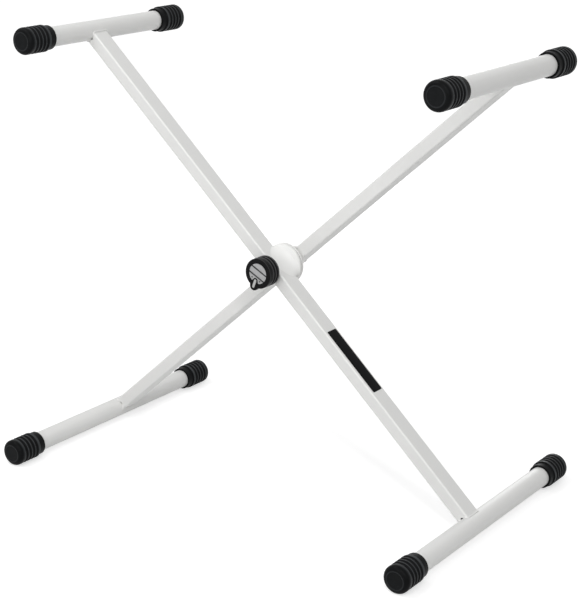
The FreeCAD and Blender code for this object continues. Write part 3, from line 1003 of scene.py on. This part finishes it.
class STAND_OT_clamp_knob(Operator):
    """Mould the clamp knob with its lug, grip rings and face recess"""

    bl_idname = "stand.clamp_knob"
    bl_label = "Clamp knob"

    def execute(self, context):
        knob = context.scene.stand_knob
        low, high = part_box("knob_shell")
        place = on_knob(knob)
        turns = round_turns(KNOB_SEGMENTS)
        stations = self.stations(knob, low.y, high.y)
        bm = bmesh.new()
        highlit = bm.verts.layers.float.new(HIGHLIGHT)
        loops = skin(bm, [
            [place(radius(turn) * math.cos(turn), along, radius(turn) * math.sin(turn)) for turn in turns]
            for radius, along in stations
        ], closed=True)
        grips_start = low.y + knob.lug_depth
        grips_end = high.y - knob.boss_length
        # Paler plastic painted on the front rim and the crests of the drum and grip rings, standing in for
        # gloss highlights
        for loop, (radius, along) in zip(loops, stations):
            on_rim = 0 < along - low.y < knob.edge_radius
            if on_rim or grips_start < along < grips_end:
                for vertex, turn in zip(loop, turns):
                    crest = lug_radius(knob, turn) if on_rim else knob.radius
                    vertex[highlit] = max(0.0, 1 - (crest - radius(turn)) / knob.rub_depth)
        make_piece("knob_shell_moulded", bm, ["knob"], "knob", "knob_plastic", "knob_shell")
        return {"FINISHED"}

    def stations(self, knob, front, washer_face):
        """Rings of the knob's skin as (radius by turn, along), from the face round the drum to the bore."""
        floor = front + knob.recess_depth
        back = washer_face - knob.boss_length
        edge = knob.edge_radius
        lug_end = front + knob.lug_depth
        head_end = floor + knob.head_depth

        def recess(inset):
            return lambda turn: recess_radius(knob, turn, inset)

        def outline(inset):
            return lambda turn: lug_radius(knob, turn) - inset

        def drum(inset):
            return even(knob.radius - inset)

        def even(radius):
            return lambda turn: radius

        def pocket(turn):
            return hexagon_reach(knob.head_pocket, turn)

        lip = knob.lip
        rings = [(pocket, floor), (recess(0), floor), (recess(0), front + lip), (recess(-lip), front)]
        rings += rounded_rim(outline, edge, front, 1)
        rings += rounded_rim(outline, edge / 2, lug_end, -1)[::-1]
        rings.append((drum(0), lug_end))
        pitch = (back - lug_end) / (knob.grips + 1)
        for grip in range(1, knob.grips + 1):
            middle = lug_end + grip * pitch
            for step in range(GRIP_STEPS + 1):
                turn = math.pi * step / GRIP_STEPS
                along = middle - knob.grip_width / 2 * math.cos(turn)
                rings.append((drum(knob.grip_depth * math.sin(turn)), along))
        rings += rounded_rim(drum, edge, back, -1)[::-1]
        rings += [
            (even(knob.boss_radius), back),
            (even(knob.boss_radius), washer_face - lip),
            (even(knob.boss_radius - lip), washer_face),
            (even(knob.bolt_bore), washer_face),
            (even(knob.bolt_bore), head_end),
            (pocket, head_end),
        ]
        return rings


class STAND_OT_knob_face(Operator):
    """Fit the face plate with its lines and dots, and the pointer bar"""

    bl_idname = "stand.knob_face"
    bl_label = "Knob face and pointer"

    def execute(self, context):
        knob = context.scene.stand_knob
        self.fit_plate(knob)
        self.fit_pointer(knob)
        return {"FINISHED"}

    def fit_plate(self, knob):
        """Inked base under three grey strips, whose gaps are the lines, and a raised dot each side."""
        front, floor = (corner.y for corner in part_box("knob_face_plate"))
        place = on_knob(knob)
        ink_level = front + knob.line_depth
        bevel = knob.line_depth / 3
        dot_rise = bevel / 2
        dot_bevel = bevel / 3
        bm = bmesh.new()
        ink_edge = polar_outline(lambda turn: recess_radius(knob, turn, knob.plate_fit + bevel))
        slab(bm, ink_edge, ink_level, floor, 0, place, material=1)
        near = knob.line_offset - knob.line_width / 2
        far = knob.line_offset + knob.line_width / 2
        plate_edge = polar_outline(lambda turn: recess_radius(knob, turn, knob.plate_fit))
        leaning = turned_outline(plate_edge, knob.line_turn)
        strips = (
            clip_outline(leaning, -far, False),
            clip_outline(clip_outline(leaning, -near, True), near, False),
            clip_outline(leaning, far, True),
        )
        for strip in strips:
            slab(bm, turned_outline(strip, -knob.line_turn), front, ink_level + bevel, bevel, place)
        disc = polar_outline(lambda turn: knob.dot_radius, DOT_SEGMENTS)
        for turn in (-knob.dot_angle, knob.dot_angle):
            middle = (knob.dot_reach * math.cos(turn), knob.dot_reach * math.sin(turn))
            dot = [(x + middle[0], z + middle[1]) for x, z in disc]
            slab(bm, dot, front - dot_rise, front + bevel, dot_bevel, place, material=1)
        make_piece("knob_face_plate_fitted", bm, ["face", "ink"], "knob", "face_grey", "knob_face_plate")

    def fit_pointer(self, knob):
        """Round-ended bar on the lug's pad."""
        front, floor = (corner.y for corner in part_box("knob_pointer"))
        outline = capsule_outline(knob.pointer_inner, knob.pointer_outer, knob.pointer_width)
        bm = bmesh.new()
        slab(bm, outline, front, floor, knob.pointer_bevel, on_knob(knob))
        make_piece("knob_pointer_fitted", bm, ["pointer"], "knob", "pointer_pale", "knob_pointer")


class STAND_OT_arm_label(Operator):
    """Stick the plain film on the front arm"""

    bl_idname = "stand.arm_label"
    bl_label = "Arm label"

    def execute(self, context):
        node = "arm_label"
        middle = centre_of(node)
        run = arm_run("front", "bottom")
        outward = run.cross(SIDE)
        outward *= math.copysign(1, outward.z)
        vertices = frame["nodes"][node].data.vertices
        along = [vertex.co.dot(run) for vertex in vertices]
        lift = [vertex.co.dot(outward) for vertex in vertices]
        length = max(along) - min(along)
        thickness = max(lift) - min(lift)
        outline = rounded_outline(length, size_of(node).y, context.scene.stand_hardware.label_corner)

        def place(x, height, z):
            return middle + run * x + SIDE * z + outward * (thickness / 2 - height)

        bm = bmesh.new()
        slab(bm, outline, 0, thickness, thickness / 2, place)
        make_piece("arm_label_film", bm, ["label"], "front_frame", "label_film", node)
        return {"FINISHED"}


# Studio


def seen_rays(tree):
    """One for camera, glossy and transmission rays, and zero for the rest."""
    path = add_node(tree, "LightPath")
    total = path.outputs["Is Camera Ray"]
    for name in ("Is Glossy Ray", "Is Transmission Ray"):
        larger = add_node(tree, "Math", {0: total, 1: path.outputs[name]}, operation="MAXIMUM")
        total = larger.outputs["Value"]
    return total


def floor_material(stage):
    """Pale floor that keeps the stand's shadow and reads as white to the camera."""
    material = bpy.data.materials.new("studio_floor")
    material.use_nodes = True
    tree = material.node_tree
    shader = tree.nodes["Principled BSDF"]
    set_inputs(tree, shader, {
        "Base Color": (*stage.floor_colour, 1),
        "Roughness": FLOOR_ROUGHNESS,
        "Specular IOR Level": FLOOR_SPECULAR,
    })
    place = add_node(tree, "TexCoord").outputs["Object"]
    reach = add_node(tree, "VectorMath", {0: place}, operation="LENGTH")
    level = add_node(tree, "MapRange", {
        "Value": reach.outputs["Value"],
        "From Min": stage.near_reach,
        "From Max": stage.far_reach,
        "To Min": stage.floor_glow,
        "To Max": stage.far_glow,
    }, interpolation_type="SMOOTHSTEP")
    strength = add_node(tree, "Math", {0: seen_rays(tree), 1: level.outputs["Result"]}, operation="MULTIPLY")
    glow = add_node(tree, "Emission", {"Strength": strength.outputs["Value"]})
    both = add_node(tree, "AddShader", {0: shader.outputs["BSDF"], 1: glow.outputs["Emission"]})
    set_inputs(tree, tree.nodes["Material Output"], {"Surface": both.outputs["Shader"]})
    return material


def light_sky(stage):
    """White surround for the eye, even soft light for the stand."""
    world = bpy.data.worlds.new("studio_sky")
    world.use_nodes = True
    bpy.context.scene.world = world
    tree = world.node_tree
    strength = add_range(tree, seen_rays(tree), stage.sky, 1.0)
    set_inputs(tree, tree.nodes["Background"], {"Color": (1, 1, 1, 1), "Strength": strength})


def hang_lamp(name, place, power, along, length, width):
    """Soft lamp aimed at the pivot, its length turned along a direction."""
    lamp = bpy.data.lights.new(name, "AREA")
    lamp.shape = "RECTANGLE"
    lamp.size = length
    lamp.size_y = width
    lamp.energy = power
    holder = bpy.data.objects.new(name, lamp)
    back = (Vector(place) - PIVOT).normalized()
    right = (along - back * along.dot(back)).normalized()
    turn = Matrix((right, back.cross(right), back)).transposed().to_4x4()
    holder.matrix_world = Matrix.Translation(place) @ turn
    bpy.context.scene.collection.objects.link(holder)


class STAND_OT_stage(Operator):
    """Lay the floor and set the lamps, the sky and the camera"""

    bl_idname = "stand.stage"
    bl_label = "Studio"

    def execute(self, context):
        stage = context.scene.stand_stage
        self.lay_floor(stage)
        light_sky(stage)
        arm = arm_run("front", "bottom")
        hang_lamp("edge_lamp", stage.edge_place, stage.edge_power, arm, stage.edge_length, stage.edge_width)
        square_lamps = (
            ("front_lamp", stage.front_place, stage.front_power, stage.front_size),
            ("top_lamp", stage.top_place, stage.top_power, stage.top_size),
            ("back_lamp", stage.back_place, stage.back_power, stage.back_size),
        )
        for name, place, power, side in square_lamps:
            hang_lamp(name, place, power, ACROSS, side, side)
        self.stand_camera(context, stage)
        context.scene.view_settings.view_transform = "Standard"
        return {"FINISHED"}

    def lay_floor(self, stage):
        """Plain square under the stand."""
        half = stage.floor_size / 2
        level = CAD_BOX[0].z
        mesh = bpy.data.meshes.new("studio_floor")
        corners = [(-half, -half, level), (half, -half, level), (half, half, level), (-half, half, level)]
        mesh.from_pydata(corners, [], [(0, 1, 2, 3)])
        mesh.materials.append(floor_material(stage))
        floor = bpy.data.objects.new("studio_floor", mesh)
        bpy.context.scene.collection.objects.link(floor)
        floor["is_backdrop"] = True

    def stand_camera(self, context, stage):
        """Camera at its place, turned, tilted and rolled."""
        turn = Matrix.Rotation(stage.camera_azimuth, 4, "Z")
        tilt = Matrix.Rotation(math.pi / 2 - stage.camera_elevation, 4, "X")
        roll = Matrix.Rotation(stage.camera_roll, 4, "Z")
        lens = bpy.data.cameras.new("studio_camera")
        lens.lens = stage.lens
        lens.sensor_width = SENSOR_WIDTH
        lens.clip_end = FAR_CLIP
        camera = bpy.data.objects.new("studio_camera", lens)
        camera.matrix_world = Matrix.Translation(stage.camera_place) @ turn @ tilt @ roll
        context.scene.collection.objects.link(camera)
        context.scene.camera = camera


# Panel and registration

STEPS = (
    STAND_OT_frame_tubes,
    STAND_OT_weld_beads,
    STAND_OT_rubber_caps,
    STAND_OT_clutch,
    STAND_OT_pivot_hardware,
    STAND_OT_clamp_knob,
    STAND_OT_knob_face,
    STAND_OT_arm_label,
    STAND_OT_stage,
)


class STAND_PT_panel(Panel):
    """Steps and settings of the stand"""

    bl_idname = "STAND_PT_panel"
    bl_label = "Keyboard stand"
    bl_space_type = "VIEW_3D"
    bl_region_type = "UI"
    bl_category = "Stand"

    def draw(self, context):
        for step in STEPS:
            self.layout.operator(step.bl_idname)
        for name, group in SETTINGS.items():
            box = self.layout.box()
            box.label(text=group.__doc__)
            for setting in group.__annotations__:
                box.prop(getattr(context.scene, name), setting)


CLASSES = (*SETTINGS.values(), *STEPS, STAND_PT_panel)


def register():
    for item in CLASSES:
        bpy.utils.register_class(item)
    for name, group in SETTINGS.items():
        setattr(bpy.types.Scene, name, PointerProperty(type=group))


def unregister():
    for name in SETTINGS:
        delattr(bpy.types.Scene, name)
    for item in reversed(CLASSES):
        bpy.utils.unregister_class(item)


def main():
    """Dress the stand, set the studio and work out the boxes of the CAD and visual models."""
    register()
    bpy.ops.stand.frame_tubes()
    bpy.ops.stand.weld_beads()
    bpy.ops.stand.rubber_caps()
    bpy.ops.stand.clutch()
    bpy.ops.stand.pivot_hardware()
    bpy.ops.stand.clamp_knob()
    bpy.ops.stand.knob_face()
    bpy.ops.stand.arm_label()
    bpy.ops.stand.stage()
    boxes = {"cad": CAD_BOX, "visual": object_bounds()}
    lists = {name: [list(corner) for corner in box] for name, box in boxes.items()}


if __name__ == "__main__":
    main()
